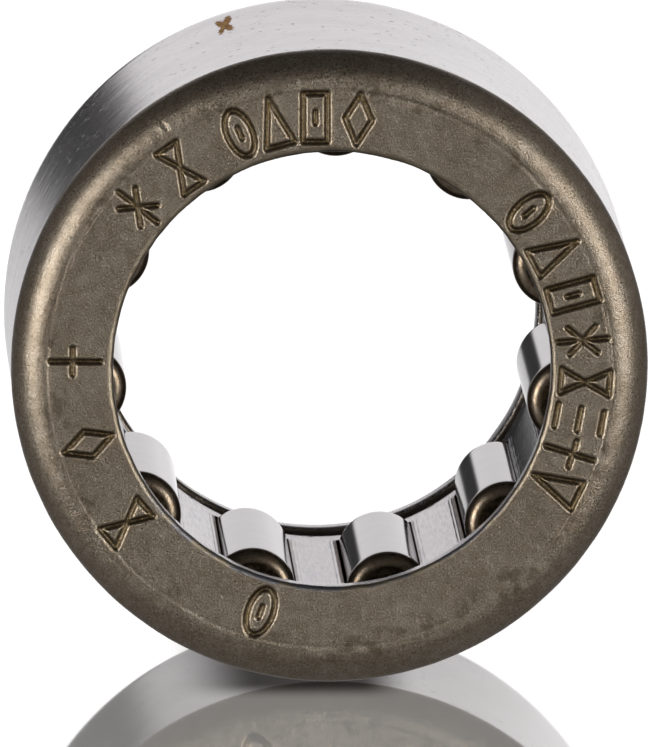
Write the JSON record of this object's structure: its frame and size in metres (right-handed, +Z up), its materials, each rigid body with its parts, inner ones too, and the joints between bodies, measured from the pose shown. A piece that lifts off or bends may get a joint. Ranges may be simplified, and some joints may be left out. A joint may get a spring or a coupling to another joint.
{
  "type": "needle roller bearing",
  "caption": "Drawn cup needle roller bearing with a sheet-steel cage, open at both ends; its needle rollers run directly on a shaft.",
  "frame": {"origin": "centre of the bearing, on its axis, midway between the two end faces", "axes": "+Y along the bearing axis, away from the marked face; +Z up with the bearing standing on its rim"},
  "size_m": [0.011, 0.009, 0.011],
  "materials": {
    "cup_steel": "matt end faces, ground outside",
    "cage_steel": "bright pressed sheet",
    "needle_steel": "polished"
  },
  "bodies": {
    "cup": {"outer_cup": "cup_steel"},
    "cage": {"needle_cage": "cage_steel"},
    "needle_01": {"needle_01": "needle_steel"},
    "needle_02": {"needle_02": "needle_steel"},
    "needle_03": {"needle_03": "needle_steel"},
    "needle_04": {"needle_04": "needle_steel"},
    "needle_05": {"needle_05": "needle_steel"},
    "needle_06": {"needle_06": "needle_steel"},
    "needle_07": {"needle_07": "needle_steel"},
    "needle_08": {"needle_08": "needle_steel"},
    "needle_09": {"needle_09": "needle_steel"},
    "needle_10": {"needle_10": "needle_steel"},
    "needle_11": {"needle_11": "needle_steel"}
  },
  "joints": [
    {"name": "cage_spin", "type": "hinge", "parent": "cup", "child": "cage", "pos_m": [0, 0, 0], "axis": [0, 1, 0], "continuous": true},
    {"name": "needle_01_spin", "type": "hinge", "parent": "cage", "child": "needle_01", "pos_m": [0.00105, -0.00012, -0.00413], "axis": [0, 1, 0], "continuous": true},
    {"name": "needle_02_spin", "type": "hinge", "parent": "cage", "child": "needle_02", "pos_m": [0.00312, -0.00012, -0.00291], "axis": [0, 1, 0], "continuous": true},
    {"name": "needle_03_spin", "type": "hinge", "parent": "cage", "child": "needle_03", "pos_m": [0.0042, -0.00012, -0.00077], "axis": [0, 1, 0], "continuous": true},
    {"name": "needle_04_spin", "type": "hinge", "parent": "cage", "child": "needle_04", "pos_m": [0.00394, -0.00012, 0.00162], "axis": [0, 1, 0], "continuous": true},
    {"name": "needle_05_spin", "type": "hinge", "parent": "cage", "child": "needle_05", "pos_m": [0.00244, -0.00012, 0.0035], "axis": [0, 1, 0], "continuous": true},
    {"name": "needle_06_spin", "type": "hinge", "parent": "cage", "child": "needle_06", "pos_m": [0.00014, -0.00012, 0.00426], "axis": [0, 1, 0], "continuous": true},
    {"name": "needle_07_spin", "type": "hinge", "parent": "cage", "child": "needle_07", "pos_m": [-0.00222, -0.00012, 0.00364], "axis": [0, 1, 0], "continuous": true},
    {"name": "needle_08_spin", "type": "hinge", "parent": "cage", "child": "needle_08", "pos_m": [-0.00384, -0.00012, 0.00186], "axis": [0, 1, 0], "continuous": true},
    {"name": "needle_09_spin", "type": "hinge", "parent": "cage", "child": "needle_09", "pos_m": [-0.00423, -0.00012, -0.00051], "axis": [0, 1, 0], "continuous": true},
    {"name": "needle_10_spin", "type": "hinge", "parent": "cage", "child": "needle_10", "pos_m": [-0.00329, -0.00012, -0.00272], "axis": [0, 1, 0], "continuous": true},
    {"name": "needle_11_spin", "type": "hinge", "parent": "cage", "child": "needle_11", "pos_m": [-0.0013, -0.00012, -0.00406], "axis": [0, 1, 0], "continuous": true}
  ],
  "couplings": [
    {"joint": "needle_01_spin", "follows": "cage_spin", "ratio": -6.6667},
    {"joint": "needle_02_spin", "follows": "cage_spin", "ratio": -6.6667},
    {"joint": "needle_03_spin", "follows": "cage_spin", "ratio": -6.6667},
    {"joint": "needle_04_spin", "follows": "cage_spin", "ratio": -6.6667},
    {"joint": "needle_05_spin", "follows": "cage_spin", "ratio": -6.6667},
    {"joint": "needle_06_spin", "follows": "cage_spin", "ratio": -6.6667},
    {"joint": "needle_07_spin", "follows": "cage_spin", "ratio": -6.6667},
    {"joint": "needle_08_spin", "follows": "cage_spin", "ratio": -6.6667},
    {"joint": "needle_09_spin", "follows": "cage_spin", "ratio": -6.6667},
    {"joint": "needle_10_spin", "follows": "cage_spin", "ratio": -6.6667},
    {"joint": "needle_11_spin", "follows": "cage_spin", "ratio": -6.6667}
  ]
}
